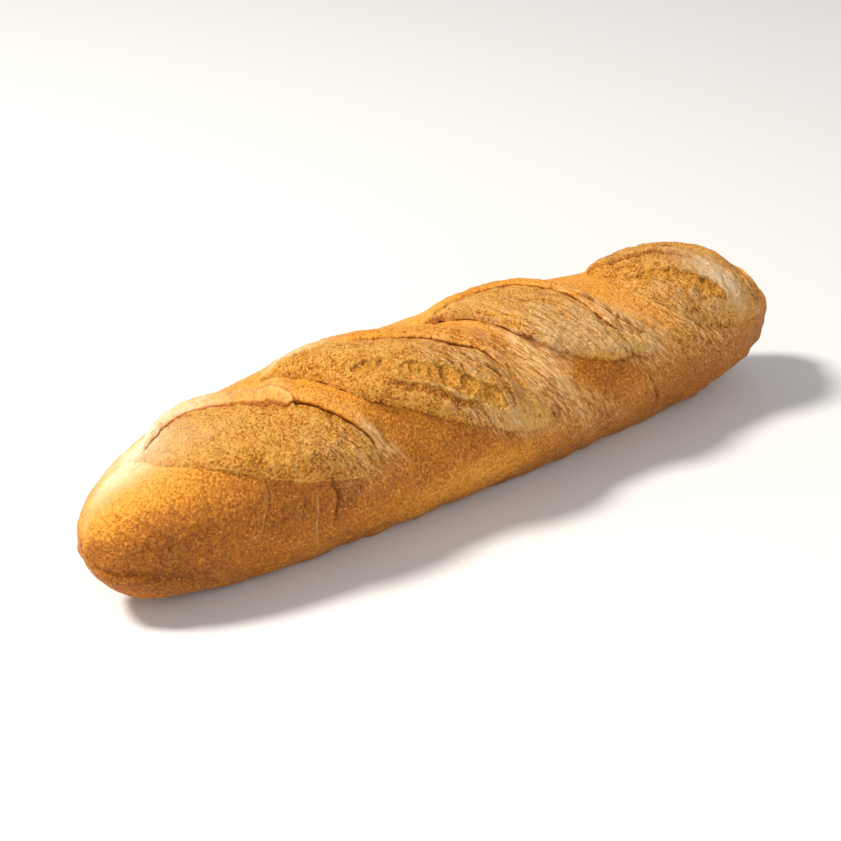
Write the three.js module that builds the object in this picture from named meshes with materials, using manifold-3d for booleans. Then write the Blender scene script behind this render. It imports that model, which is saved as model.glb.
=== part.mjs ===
// A short baguette, about 30 cm long: one solid loaf with a flat base, four long slanting
// slashes, the dough that has opened in each of them, and the crust lip that stands over it.
// Millimetres and degrees. X runs along the loaf from its near end to its far end, Z is up,
// and the slashes lean towards -Y. A "turn" is an angle round the loaf, from 0 at the top
// of the crust towards -Y.
import * as THREE from "three";
import { mergeVertices } from "three/addons/utils/BufferGeometryUtils.js";
import Module from "manifold-3d";

const wasm = await Module();
wasm.setup();

// The loaf without its slashes.
const LENGTH = 297;
const WIDTH = 68;
const HEIGHT = 57.5;
const WAIST = 0.47; // height of the widest line, as a share of HEIGHT
const UNDERSIDE = 5; // how far the round underside would reach below the flat base
const NEAR_BLUNT = 3.4; // the higher, the blunter the end
const FAR_BLUNT = 2.85;
const TAPER = -0.012; // share by which the far half is slimmer
const BOW = 7.5; // sideways bend of the middle towards +Y
const LIFT = 0.75; // below 1 the underside stays fuller than the top towards the ends

// The bow and the slashes shift the loaf's middle this far towards +Y, and the origin with it.
const ORIGIN_Y = 5.66;

// Mesh of the crust: stations along the loaf and faces round it, closer where the slashes are.
const STATIONS = 84;
const END_CROWDING = 1.3;
const FACES_ROUND = 34;
const DENSE_TURN = 40;
const DENSE_SHARE = 0.45;

// A slash runs from start to end, each [x, turn]. upper and lower are how far its two edges
// bow out from that line, and upperPeak and lowerPeak where along it they do so most. puff is
// the height of the opened dough, and lip the height of the crust over its upper edge.
const GIRTH_RADIUS = 33; // turns a turn into a distance over the crust
const SLASHES = [
  {
    start: [-129, -13], end: [-57, 80], puff: 3.8, lip: 3.6,
    upper: 15, lower: 14, upperPeak: 0.34, lowerPeak: 0.5,
  },
  {
    start: [-80, -9], end: [22, 90], puff: 6.6, lip: 4.4,
    upper: 19, lower: 12, upperPeak: 0.45, lowerPeak: 0.62,
  },
  {
    start: [-12, -6], end: [70, 64], puff: 5, lip: 4,
    upper: 20, lower: 11, upperPeak: 0.42, lowerPeak: 0.62,
  },
  {
    start: [68, -12], end: [128, 72], puff: 8.6, lip: 7,
    upper: 24, lower: 17, upperPeak: 0.46, lowerPeak: 0.5,
  },
];
const LIP_REACH = 7; // how far the crust rises before the lip's edge
const LIP_LEVEL = 4; // it stays level this far past that edge, where the crease is cut from it
const LIP_DROP = 3;
const CREASE_WIDTH = 7;
const CREASE_DEPTH = 2.5;
const CREASE_UNDERCUT = 2;
const DOUGH_TUCK = 1.6; // how far the dough's edges dip below the crust
const DOUGH_DEPTH = 9; // how far the opened dough goes down into the loaf
const DOUGH_STEPS = [26, 10];
const CREASE_STEPS = [26, 3];

// Places where the opened dough has torn and shows crumb: which slash, how far along it from
// and to, how far beside its line, and half the tear's width.
const TEARS = [
  { slash: 1, from: 0.27, to: 0.76, beside: 0.3, half: 4.4 },
  { slash: 3, from: 0.2, to: 0.69, beside: -5, half: 3.6 },
];
const TEAR_DEPTH = 2.8;

const degrees = Math.PI / 180;
const turnLength = degrees * GIRTH_RADIUS;
const clamp = (value, low, high) => Math.min(high, Math.max(low, value));

// A point of the bare loaf at x and turn.
function bodyPoint(x, turn) {
  const share = clamp(x / (LENGTH / 2), -1, 1);
  const blunt = share < 0 ? NEAR_BLUNT : FAR_BLUNT;
  const girth = Math.sqrt(Math.max(0, 1 - Math.abs(share) ** blunt)) * (1 + TAPER * share);
  const up = Math.cos(turn * degrees);
  const waist = HEIGHT * WAIST;
  const reach = up > 0 ? (HEIGHT - waist) * girth : (waist + UNDERSIDE) * girth ** LIFT;
  const y = BOW * (1 - share * share) - (WIDTH / 2) * girth * Math.sin(turn * degrees);
  return new THREE.Vector3(x, y, waist + reach * up);
}

// The same point raised by rise along the crust's outward normal.
function crustPoint(x, turn, rise) {
  const step = 0.05;
  const end = LENGTH / 2;
  const ahead = bodyPoint(Math.min(x + step, end), turn);
  const along = ahead.sub(bodyPoint(Math.max(x - step, -end), turn));
  const round = bodyPoint(x, turn - step).sub(bodyPoint(x, turn + step));
  const normal = along.cross(round);
  if (normal.length() < 1e-7) normal.set(Math.sign(x), 0, 0);
  return bodyPoint(x, turn).addScaledVector(normal.normalize(), rise);
}

// A round-ended bump over 0 to 1 that is 1 at peak and 0 at both ends.
function bump(share, peak) {
  const s = clamp(share, 1e-6, 1 - 1e-6);
  const rising = 1.5 * peak;
  const falling = 1.5 * (1 - peak);
  return (s ** rising * (1 - s) ** falling) / (peak ** rising * (1 - peak) ** falling);
}

const fadeAtEnds = (share) => Math.sqrt(clamp(4 * share * (1 - share), 0, 1));

// A slash's line over the crust, as a unit direction and a length in millimetres.
function lineOf(slash) {
  const dx = slash.end[0] - slash.start[0];
  const dturn = (slash.end[1] - slash.start[1]) * turnLength;
  const length = Math.hypot(dx, dturn);
  return { length, x: dx / length, turn: dturn / length };
}

const upperEdge = (slash, share) => slash.upper * bump(share, slash.upperPeak);
const lowerEdge = (slash, share) => -slash.lower * bump(share, slash.lowerPeak);

// From a share of the slash's length and a distance beside its line to [x, turn], and back.
function onCrust(slash, share, beside) {
  const line = lineOf(slash);
  const gone = share * line.length;
  return [
    slash.start[0] + gone * line.x + beside * line.turn,
    slash.start[1] + (gone * line.turn - beside * line.x) / turnLength,
  ];
}
function onSlash(slash, x, turn) {
  const line = lineOf(slash);
  const dx = x - slash.start[0];
  const dturn = (turn - slash.start[1]) * turnLength;
  const share = (dx * line.x + dturn * line.turn) / line.length;
  return { share, beside: dx * line.turn - dturn * line.x };
}

// How far the crust rises towards the lips of the slashes.
function lipRise(x, turn) {
  let rise = 0;
  for (const slash of SLASHES) {
    const { share, beside } = onSlash(slash, x, turn);
    if (share <= 0 || share >= 1) continue;
    const past = beside - upperEdge(slash, share);
    const fade = fadeAtEnds(share);
    const level = LIP_LEVEL * fade;
    const away = past > 0 ? past / LIP_REACH : Math.min(0, past + level) / LIP_DROP;
    rise = Math.max(rise, slash.lip * fade * Math.exp(-(away ** 2)));
  }
  return rise;
}

// Height of the opened dough. across runs from -1 at the lower edge to 1 under the lip.
function doughRise(slash, share, across) {
  const dome = (1 - Math.abs(across) ** 2.4) ** 0.75;
  const tuck = DOUGH_TUCK * Math.abs(across) ** 8 + CREASE_DEPTH * Math.max(0, across) ** 6;
  return slash.puff * fadeAtEnds(share) * dome - tuck;
}

// A closed mesh as a manifold-3d solid.
function solidOf(geometry) {
  const bare = geometry.clone();
  bare.deleteAttribute("normal");
  bare.deleteAttribute("uv");
  const merged = mergeVertices(bare, 1e-4);
  const index = merged.index.array;
  const faces = [];
  for (let i = 0; i < index.length; i += 3) {
    const [a, b, c] = [index[i], index[i + 1], index[i + 2]];
    if (a !== b && b !== c && c !== a) faces.push(a, b, c);
  }
  return new wasm.Manifold(
    new wasm.Mesh({
      numProp: 3,
      vertProperties: Float32Array.from(merged.attributes.position.array),
      triVerts: Uint32Array.from(faces),
    }),
  );
}

// Moves every corner of a geometry by place(x, y, z), which gives a THREE.Vector3.
function reshape(geometry, place) {
  const position = geometry.attributes.position;
  for (let i = 0; i < position.count; i++) {
    const point = place(position.getX(i), position.getY(i), position.getZ(i));
    position.setXYZ(i, point.x, point.y, point.z);
  }
  return geometry;
}

// The crust: a lathed spindle whose corners are then laid on the loaf's form.
function crust() {
  const profile = [];
  for (let i = 0; i <= STATIONS; i++) {
    const side = (2 * i) / STATIONS - 1;
    const share = Math.sign(side) * (1 - (1 - Math.abs(side)) ** END_CROWDING);
    const onAxis = i === 0 || i === STATIONS;
    profile.push(new THREE.Vector2(onAxis ? 0 : 1, (share * LENGTH) / 2));
  }
  const spindle = new THREE.LatheGeometry(profile, FACES_ROUND);
  return reshape(spindle, (side, along, up) => {
    const even = Math.atan2(side, up) / degrees;
    const turn = even - (DENSE_SHARE / degrees) * Math.sin((even - DENSE_TURN) * degrees);
    return crustPoint(along, turn, lipRise(along, turn));
  });
}

// The dough opened in a slash: a block bent onto the crust between the slash's two edges.
function openedDough(slash) {
  const block = new THREE.BoxGeometry(1, 1, 1, ...DOUGH_STEPS, 1);
  return reshape(block, (u, v, w) => {
    const share = 0.015 + 0.97 * (u + 0.5);
    const across = 2 * v;
    const upper = upperEdge(slash, share) + CREASE_UNDERCUT * fadeAtEnds(share);
    const lower = lowerEdge(slash, share);
    const [x, turn] = onCrust(slash, share, (upper + lower) / 2 + (across * (upper - lower)) / 2);
    const depth = DOUGH_DEPTH * fadeAtEnds(share) + 1;
    return crustPoint(x, turn, w > 0 ? doughRise(slash, share, across) : -depth);
  });
}

// The crease under a slash's lip: it is cut slanting, so that the lip stands over the dough.
function creaseCutter(slash) {
  const block = new THREE.BoxGeometry(1, 1, 1, ...CREASE_STEPS, 1);
  return reshape(block, (u, v, w) => {
    const share = 0.03 + 0.94 * (u + 0.5);
    const upper = upperEdge(slash, share);
    const wide = CREASE_WIDTH * fadeAtEnds(share) + 0.5;
    const under = w > 0 ? 0 : CREASE_UNDERCUT * fadeAtEnds(share);
    const [x, turn] = onCrust(slash, share, upper + under - wide * (0.5 - v));
    return crustPoint(x, turn, w > 0 ? 2 * slash.lip + 4 : -CREASE_DEPTH * fadeAtEnds(share));
  });
}

// A tear in the opened dough, down to crumb.
function tearCutter(tear) {
  const slash = SLASHES[tear.slash];
  const block = new THREE.BoxGeometry(1, 1, 1, 14, 2, 1);
  return reshape(block, (u, v, w) => {
    const share = tear.from + (tear.to - tear.from) * (u + 0.5);
    const half = tear.half * Math.sqrt(Math.max(0.02, 1 - (2 * u) ** 2));
    const beside = tear.beside + 2 * v * half;
    const upper = upperEdge(slash, share);
    const lower = lowerEdge(slash, share);
    const across = clamp((2 * beside - upper - lower) / (upper - lower), -1, 1);
    const [x, turn] = onCrust(slash, share, beside);
    return crustPoint(x, turn, doughRise(slash, share, across) + (w > 0 ? 5 : -TEAR_DEPTH));
  });
}

// Everything below the table top is cut away, which leaves the flat base.
function belowTable() {
  const block = new THREE.BoxGeometry(2 * LENGTH, 4 * WIDTH, HEIGHT);
  return block.translate(0, 0, -HEIGHT / 2);
}

let loaf = solidOf(crust());
for (const slash of SLASHES) loaf = loaf.subtract(solidOf(creaseCutter(slash)));
for (const slash of SLASHES) loaf = loaf.add(solidOf(openedDough(slash)));
for (const tear of TEARS) loaf = loaf.subtract(solidOf(tearCutter(tear)));
loaf = loaf.subtract(solidOf(belowTable()));

const mesh = loaf.getMesh();
const geometry = new THREE.BufferGeometry();
geometry.setAttribute("position", new THREE.BufferAttribute(mesh.vertProperties, 3));
geometry.setIndex(new THREE.BufferAttribute(mesh.triVerts, 1));
geometry.translate(0, -ORIGIN_Y, 0);
geometry.computeVertexNormals();

const crustFinish = new THREE.MeshStandardMaterial({ color: 0xc98a3f, roughness: 0.75, metalness: 0 });
const baguette = new THREE.Mesh(geometry, crustFinish);
baguette.name = "baguette";

const part = new THREE.Group();
part.add(baguette);
export default part;
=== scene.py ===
import math

import bpy
import numpy as np
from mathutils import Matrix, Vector


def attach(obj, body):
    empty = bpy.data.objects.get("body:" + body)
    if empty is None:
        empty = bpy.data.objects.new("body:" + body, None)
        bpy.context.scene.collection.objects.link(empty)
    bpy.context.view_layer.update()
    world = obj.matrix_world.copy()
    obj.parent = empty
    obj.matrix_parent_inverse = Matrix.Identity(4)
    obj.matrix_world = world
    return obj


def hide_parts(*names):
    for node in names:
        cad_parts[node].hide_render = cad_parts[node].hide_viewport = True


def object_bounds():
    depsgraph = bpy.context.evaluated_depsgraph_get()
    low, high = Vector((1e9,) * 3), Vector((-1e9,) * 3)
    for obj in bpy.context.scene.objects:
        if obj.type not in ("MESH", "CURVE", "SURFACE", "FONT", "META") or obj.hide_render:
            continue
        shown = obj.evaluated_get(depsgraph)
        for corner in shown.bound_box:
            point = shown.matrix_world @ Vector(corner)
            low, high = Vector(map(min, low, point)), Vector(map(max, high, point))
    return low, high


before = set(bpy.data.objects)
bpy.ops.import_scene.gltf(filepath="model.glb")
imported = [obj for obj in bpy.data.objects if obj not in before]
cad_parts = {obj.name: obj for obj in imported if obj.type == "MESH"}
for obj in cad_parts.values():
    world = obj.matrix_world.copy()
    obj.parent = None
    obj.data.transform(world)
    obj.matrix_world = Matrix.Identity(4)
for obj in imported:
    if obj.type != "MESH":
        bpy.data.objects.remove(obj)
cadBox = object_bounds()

# A short baguette on a pale floor. The forms are worked out in millimetres and set into the meshes in
# metres. A turn is an angle round the loaf in degrees, from 0 at the top of the crust towards -Y.
millimetre = 0.001
bpy.context.scene.view_settings.view_transform = "Standard"

# The loaf's form, shared by every piece.
loaf = {
    "length": (cadBox[1].x - cadBox[0].x) / millimetre,
    "width": 68,
    "height": 57.5,
    "waist": 0.47,  # height of the widest line, as a share of the height
    "underside": 5,  # how far the round underside would reach below the flat base
    "nearBlunt": 3.4,  # the higher, the blunter the end
    "farBlunt": 2.85,
    "taper": -0.012,  # the far end is slimmer by this share
    "bow": 7.5,  # sideways bend towards +Y
    "lift": 0.75,  # below 1 the underside stays fuller than the top towards the ends
    "middle": 5.66,  # the bow and the slashes shift the middle this far towards +Y
    "girthRadius": 33,  # turns a turn into millimetres over the crust
}
turnLength = math.radians(loaf["girthRadius"])

# Each slash runs from start to end, [x, turn], over the crust. The lists are [share of the slash,
# millimetres]: upper and lower are its two edges, beside that line, wall is the width of the torn slope
# from the upper edge to the rim of the crust, and lip is how high that rim stands. The opened dough
# swells to puff millimetres, highest at crest, a share of the way from the lower edge to the upper. It
# rises over the first share, tip, and front is how early and how steeply it rises from the lower edge.
# crease and sill are its heights at the upper and lower edges, ledge is how far it overhangs the lower
# one, and closes is where the crease under the rim ends. Below the lower edge the crust sinks by hollow
# and is browner by shade, a painted shade under the overhanging edge added to the crust's own browner
# colour there, fading over shadeReach. floury is where along the rim the flour, in part a painted
# highlight, fades out, where it is full and the least of it.
slashes = [
    {
        "start": (-129, -13), "end": (-57, 80), "puff": 3.8, "crest": 0.42, "crease": 0.3, "sill": 0.2,
        "tip": 0.2, "front": (2.4, 0.75), "shade": 0.55, "shadeReach": 16,
        "lip": [
            (0, 2), (0.08, 4), (0.15, 3.4), (0.25, 2), (0.3, 1.5), (0.45, 1.2), (0.62, 2.2), (0.85, 3.2),
            (1, 2.6),
        ],
        "upper": [
            (0, 0), (0.04, 0.4), (0.073, 1), (0.101, 4.4), (0.15, 12), (0.228, 16.8), (0.294, 16.4),
            (0.343, 16.2), (0.415, 16), (0.473, 15.2), (0.533, 14.9), (0.596, 15.2), (0.624, 17.2),
            (0.685, 16.6), (0.751, 15.4), (0.788, 14.6), (0.885, 11.5), (0.943, 8.6), (0.98, 4.8),
            (1, 0),
        ],
        "lower": [
            (0, 0), (0.08, -4.6), (0.187, -11), (0.303, -12.8), (0.39, -13.7), (0.51, -14.1), (0.65, -13),
            (0.7, -12.2), (0.815, -8.3), (0.904, -5), (0.96, -2.6), (1, 0),
        ],
        "wall": [
            (0, 1), (0.1, 4.6), (0.2, 7), (0.4, 6.6), (0.47, 8), (0.53, 10), (0.565, 8.4), (0.595, 4.4),
            (0.62, 0.3), (1, 0.2),
        ],
        "ledge": 0.6,
        "closes": 1.04,
        "hollow": 0.3,
        "floury": (0.45, 0.2, 0.25),
    },
    {
        "start": (-80, -9), "end": (22, 90), "puff": 6.6, "crest": 0.45, "crease": 1.6, "sill": 1.6,
        "tip": 0.05, "front": (3.6, 0.75), "shade": 0.35, "shadeReach": 7,
        "lip": [(0, 3.2), (1, 3.2)],
        "upper": [
            (0, 0), (0.04, 1.8), (0.08, 4.6), (0.12, 10), (0.175, 16.6), (0.24, 19.6), (0.3, 20.6),
            (0.41, 20.8), (0.51, 20.2), (0.6, 18), (0.67, 17.2), (0.72, 14), (0.757, 10.6), (0.785, 6),
            (0.82, 3.4), (0.88, 2), (0.95, 0.8), (1, 0),
        ],
        "lower": [
            (0, 0), (0.08, -0.6), (0.147, -1.4), (0.171, -2.6), (0.26, -7.3), (0.345, -10.4), (0.395, -11),
            (0.51, -11.2), (0.59, -11.6), (0.723, -10), (0.817, -9), (0.88, -7), (0.95, -3.6), (1, 0),
        ],
        "wall": [(0, 1), (0.1, 3.4), (0.2, 4.4), (0.35, 2.8), (0.5, 1), (0.6, 0.4), (1, 0.2)],
        "ledge": 1.3,
        "closes": 0.82,
        "hollow": 1.5,
        "floury": (0.34, 0.12, 0),
    },
    {
        "start": (-12, -6), "end": (70, 64), "puff": 5.2, "crest": 0.45, "crease": 2.6, "sill": 1.8,
        "tip": 0.05, "front": (4.5, 0.75), "shade": 0.45, "shadeReach": 8,
        "lip": [(0, 4), (1, 4)],
        "upper": [
            (0, 0), (0.04, 0.8), (0.076, 3), (0.13, 8), (0.186, 13), (0.255, 17.6), (0.327, 21.4),
            (0.42, 22.6), (0.482, 21), (0.529, 18.6), (0.594, 15.4), (0.653, 11.5), (0.689, 7.9),
            (0.728, 4.4), (0.781, 1.6), (0.84, 0.6), (0.92, 0.6), (1, 0),
        ],
        "lower": [
            (0, 0), (0.05, -0.6), (0.125, 1.1), (0.21, 1.1), (0.285, -1), (0.33, -4.2), (0.37, -6.7),
            (0.45, -9.3), (0.5, -11.1), (0.585, -12), (0.66, -12.2), (0.747, -11.7), (0.82, -9.8),
            (0.9, -6), (1, 0),
        ],
        "wall": [(0, 1), (0.1, 2.4), (0.25, 2.2), (0.5, 0.8), (0.6, 0.3), (1, 0.2)],
        "ledge": 1.4,
        "closes": 0.86,
        "hollow": 1.8,
        "floury": None,
    },
    {
        "start": (68, -12), "end": (128, 72), "puff": 8.6, "crest": 0.5, "crease": 7.0, "sill": 0,
        "tip": 0.01, "front": (2, 1.5), "shade": 0, "shadeReach": 7,
        "lip": [(0, 7), (1, 7)],
        "upper": [
            (0, 0), (0.04, 6.6), (0.1, 12.6), (0.2, 18.6), (0.3, 22), (0.4, 23.6), (0.5, 23.9), (0.6, 22.6),
            (0.7, 19.9), (0.8, 15.6), (0.9, 9.8), (0.96, 5), (1, 0),
        ],
        "lower": [
            (0, 0), (0.04, -4), (0.1, -8), (0.2, -12.2), (0.3, -15), (0.4, -16.5), (0.5, -17), (0.6, -16.5),
            (0.7, -14.9), (0.8, -12.2), (0.9, -8), (0.96, -4), (1, 0),
        ],
        "wall": [(0, 1), (1, 1)],
        "ledge": 0,
        "closes": 0,
        "hollow": 0,
        "floury": None,
    },
]


def bodyPoint(x, turn):
    share = np.clip(x / (loaf["length"] / 2), -1, 1)
    blunt = np.where(share < 0, loaf["nearBlunt"], loaf["farBlunt"])
    girth = np.sqrt(np.clip(1 - np.abs(share) ** blunt, 0, 1)) * (1 + loaf["taper"] * share)
    up = np.cos(np.radians(turn))
    waist = loaf["height"] * loaf["waist"]
    above = (loaf["height"] - waist) * girth
    below = (waist + loaf["underside"]) * girth ** loaf["lift"]
    y = loaf["bow"] * (1 - share**2) - loaf["width"] / 2 * girth * np.sin(np.radians(turn)) - loaf["middle"]
    return np.stack([x, y, waist + np.where(up > 0, above, below) * up], axis=-1)


def crustPoint(x, turn, rise):
    step = 0.05
    tiny = 1e-7
    end = loaf["length"] / 2
    along = bodyPoint(np.minimum(x + step, end), turn) - bodyPoint(np.maximum(x - step, -end), turn)
    around = bodyPoint(x, turn - step) - bodyPoint(x, turn + step)
    normal = np.cross(along, around)
    size = np.linalg.norm(normal, axis=-1, keepdims=True)
    tip = np.stack([np.sign(x), np.zeros_like(x), np.zeros_like(x)], axis=-1)
    normal = np.where(size > tiny, normal / np.maximum(size, tiny), tip)
    return bodyPoint(x, turn) + normal * np.asarray(rise)[..., None]


def smoothStep(low, high, value):
    t = np.clip((value - low) / (high - low), 0, 1)
    return t * t * (3 - 2 * t)


# 1 at the middle, falling off smoothly on both sides.
def bell(value, middle, wide):
    return np.exp(-(((value - middle) / wide) ** 2))


def fadeAtEnds(share):
    return np.sqrt(np.clip(4 * share * (1 - share), 0, 1))


# A smooth line through corners [a, b], taken at the values of a.
def curve(corners, values):
    a, b = np.array(corners, dtype=float).T
    rate = np.diff(b) / np.diff(a)
    before, after = rate[:-1], rate[1:]
    same = before * after > 0
    slope = np.where(same, 2 * before * after / np.where(same, before + after, 1), 0)
    slope = np.concatenate([rate[:1], slope, rate[-1:]])
    step = np.clip(np.searchsorted(a, values) - 1, 0, len(a) - 2)
    wide = a[step + 1] - a[step]
    t = np.clip((values - a[step]) / wide, 0, 1)
    start = b[step] * (1 + 2 * t) * (1 - t) ** 2 + slope[step] * wide * t * (1 - t) ** 2
    return start + b[step + 1] * t * t * (3 - 2 * t) - slope[step + 1] * wide * t * t * (1 - t)


def lineOf(slash):
    along = slash["end"][0] - slash["start"][0]
    around = (slash["end"][1] - slash["start"][1]) * turnLength
    length = math.hypot(along, around)
    return length, along / length, around / length


def onCrust(slash, share, beside):
    length, along, around = lineOf(slash)
    x = slash["start"][0] + share * length * along + beside * around
    turn = slash["start"][1] + (share * length * around - beside * along) / turnLength
    return x, turn


def onSlash(slash, x, turn):
    length, along, around = lineOf(slash)
    dx = x - slash["start"][0]
    dturn = (turn - slash["start"][1]) * turnLength
    return (dx * along + dturn * around) / length, dx * around - dturn * along


# Noise, the same on each run: the corners of a grid of cells look up their values in a table of random
# numbers.
noiseTable = 8192
hashPrimes = np.array([73856093, 19349663, 83492791])
hashShift = 13


def smoothNoise(points, seed):
    table = np.random.default_rng(seed).random(noiseTable)
    cell = np.floor(points).astype(np.int64)
    part = points - cell
    part = part * part * (3 - 2 * part)
    total = 0
    for corner in range(8):
        step = np.array([corner & 1, corner >> 1 & 1, corner >> 2 & 1])
        key = (cell + step) @ hashPrimes
        weight = np.prod(np.where(step, part, 1 - part), axis=-1)
        total = total + weight * table[(key ^ (key >> hashShift)) % noiseTable]
    return 2 * total - 1


def grain(points, size, seed, layers=1):
    total = 0
    for layer in range(layers):
        total = total + smoothNoise(points / size * 2**layer, seed + layer) / 2**layer
    return total


# Bumps of a height and a size in millimetres.
def bumps(points, high, size, seed, layers=1):
    return high * grain(points, size, seed, layers)


def flat(a, b):
    return np.stack([a, b, np.zeros_like(a)], axis=-1)


# Fibres of pulled dough: noise drawn out along the pull, which bends a little from place to place.
pull = {
    "angle": 57,  # to the loaf's length, over the unrolled crust
    "bend": 0.9,
    "bendLong": 9,
    "bendWide": 6,
    "bendSeed": 7,
}


def fibres(x, turn, wide, long, seed):
    around = turn * turnLength
    slant = math.radians(pull["angle"])
    along = x * math.cos(slant) + around * math.sin(slant)
    across = around * math.cos(slant) - x * math.sin(slant)
    bend = smoothNoise(flat(along / pull["bendLong"], across / pull["bendWide"]), seed + pull["bendSeed"])
    across = across + pull["bend"] * bend
    return smoothNoise(flat(along / long, across / wide), seed)


# Distance in millimetres to a line of [x, turn] corners over the crust, with its sign from the side it lies
# on, above 0 towards the far side, and how far along the line it is.
def besidePath(path, x, turn):
    nearest = np.full(np.shape(x), np.inf)
    gone = np.zeros(np.shape(x))
    for step, (a, b) in enumerate(zip(path, path[1:])):
        ax, ay = a[0], a[1] * turnLength
        bx, by = b[0] - ax, b[1] * turnLength - ay
        px, py = x - ax, turn * turnLength - ay
        t = np.clip((px * bx + py * by) / (bx * bx + by * by), 0, 1)
        side = np.where(px * by - py * bx >= 0, 1, -1)
        away = side * np.hypot(px - t * bx, py - t * by)
        closer = np.abs(away) < np.abs(nearest)
        gone = np.where(closer, (step + t) / (len(path) - 1), gone)
        nearest = np.where(closer, away, nearest)
    return nearest, gone


# A round or long hill at a place, 1 at its top. Its length lies at 45 degrees unless the place gives an
# angle.
def hill(x, turn, place):
    slant = math.radians(place.get("angle", 45))
    dx = x - place["x"]
    dturn = (turn - place["turn"]) * turnLength
    along = dx * math.cos(slant) + dturn * math.sin(slant)
    across = dturn * math.cos(slant) - dx * math.sin(slant)
    return bell(along, 0, place["long"]) * bell(across, 0, place["wide"])


# Places where the bread is floury, paler, browner, open to the crumb or drawn into fibres. Each is at [x,
# turn], long and wide millimetres across, and its amount is added; below 0 it takes away. Some pale,
# flour and bake patches also paint light and shade over the bread's own colour: paler where the lamps
# leave a slope dim, browner where they light it strongly.
places = {
    "flourAndHighlight": [
        # Floury at the near end's top: real flour and a painted highlight where the light falls strongest.
        {"x": -126, "turn": -14, "long": 14, "wide": 13, "amount": 1.7, "angle": 0},
        # Floury at the far end: real flour and painted light on a slope the lamps leave dim.
        {"x": 105, "turn": 35, "long": 12, "wide": 5, "amount": 1, "angle": 53},
    ],
    "pale": [
        {"x": -56.3, "turn": 56, "long": 8, "wide": 2.4, "amount": 1.2, "angle": 64},
        {"x": 107, "turn": 38, "long": 14, "wide": 7, "amount": 1.2, "angle": 53},
        {"x": 2, "turn": 26, "long": 15, "wide": 7, "amount": -0.5, "angle": 50},
        {"x": 68, "turn": 61, "long": 8, "wide": 5, "amount": 1.1},
        {"x": 20, "turn": 55, "long": 24, "wide": 10, "amount": 0.75},
        {"x": 38, "turn": 46, "long": 18, "wide": 8, "amount": 0.6},
        {"x": -110, "turn": 14, "long": 13, "wide": 6, "amount": 0.6, "angle": 30},
        {"x": 4, "turn": 2, "long": 10, "wide": 4, "amount": 0.2, "angle": 20},
        {"x": -8, "turn": 70, "long": 22, "wide": 5, "amount": 0.95, "angle": 30},
        {"x": 57, "turn": 34, "long": 15, "wide": 5, "amount": 0.5},
        {"x": 42, "turn": 54, "long": 13, "wide": 6, "amount": 1},
        {"x": 42, "turn": 69, "long": 15, "wide": 6.5, "amount": -1.5, "angle": 20},
        {"x": -30, "turn": 71, "long": 32, "wide": 5.5, "amount": -1.2, "angle": 29},
    ],
    "bakeAndShade": [
        {"x": -84, "turn": 92, "long": 40, "wide": 12, "amount": 0.15, "angle": 0},
        {"x": -79, "turn": 46, "long": 12, "wide": 8, "amount": 0.3},
        {"x": -90, "turn": 28, "long": 16, "wide": 8, "amount": -0.25},
        {"x": 4, "turn": 101, "long": 18, "wide": 8, "amount": -0.35, "angle": 0},
        {"x": 7, "turn": -4, "long": 14, "wide": 8, "amount": -0.55},
        {"x": 36, "turn": 46, "long": 18, "wide": 8, "amount": -0.3},
        {"x": -2, "turn": 74, "long": 26, "wide": 5, "amount": -0.5, "angle": 30},
        {"x": -110, "turn": 16, "long": 14, "wide": 8, "amount": -0.3, "angle": 30},
        {"x": 22, "turn": 66, "long": 14, "wide": 5, "amount": -0.35},
        {"x": 2, "turn": 26, "long": 15, "wide": 7, "amount": 0.4, "angle": 50},
        {"x": 88, "turn": 20, "long": 20, "wide": 12, "amount": 0.25},
        {"x": -135, "turn": 57, "long": 12, "wide": 10, "amount": 0.4, "angle": 0},
        {"x": -46, "turn": 56, "long": 13, "wide": 4.5, "amount": 0.5, "angle": 60},
        {"x": 42, "turn": 69, "long": 15, "wide": 7, "amount": 0.2, "angle": 20},
        {"x": -128, "turn": 74, "long": 24, "wide": 18, "amount": 0.5, "angle": 0},
        {"x": -130, "turn": 118, "long": 24, "wide": 10, "amount": 0.6, "angle": 0},
        {"x": 100, "turn": 95, "long": 34, "wide": 16, "amount": 0.2, "angle": 0},
        {"x": 122, "turn": 46, "long": 5, "wide": 3, "amount": 0.4},
        {"x": -130, "turn": 84, "long": 10, "wide": 10, "amount": 0.3},
        {"x": -19, "turn": 112, "long": 30, "wide": 8, "amount": -0.9, "angle": 0},
    ],
    "crumb": [
        {"x": 9, "turn": 76.5, "long": 9.5, "wide": 6.5, "amount": 0.85, "angle": 29},
        {"x": 59.5, "turn": 58.5, "long": 6.5, "wide": 5, "amount": 0.85, "angle": 20},
    ],
    "streak": [
        {"x": 20, "turn": 58, "long": 32, "wide": 15, "amount": 0.9},
        {"x": 42, "turn": 69, "long": 15, "wide": 6.5, "amount": -1.5, "angle": 20},
        {"x": -30, "turn": 71, "long": 32, "wide": 5.5, "amount": -1.4, "angle": 29},
        {"x": -46, "turn": 56, "long": 13, "wide": 4, "amount": -0.8, "angle": 60},
        {"x": 42, "turn": 42, "long": 26, "wide": 13, "amount": 1.0},
        {"x": -14, "turn": 70, "long": 26, "wide": 8, "amount": 0.9},
        {"x": -16, "turn": 38, "long": 14, "wide": 9, "amount": 0.8},
        {"x": 92, "turn": 54, "long": 28, "wide": 13, "amount": 0.85},
        {"x": -68, "turn": 60, "long": 16, "wide": 8, "amount": 0.6},
        {"x": -54, "turn": 56, "long": 14, "wide": 5, "amount": 0.9, "angle": 55},
        {"x": 64, "turn": 58, "long": 16, "wide": 9, "amount": 0.6},
        {"x": 112, "turn": 34, "long": 20, "wide": 10, "amount": 0.5},
    ],
}

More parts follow.
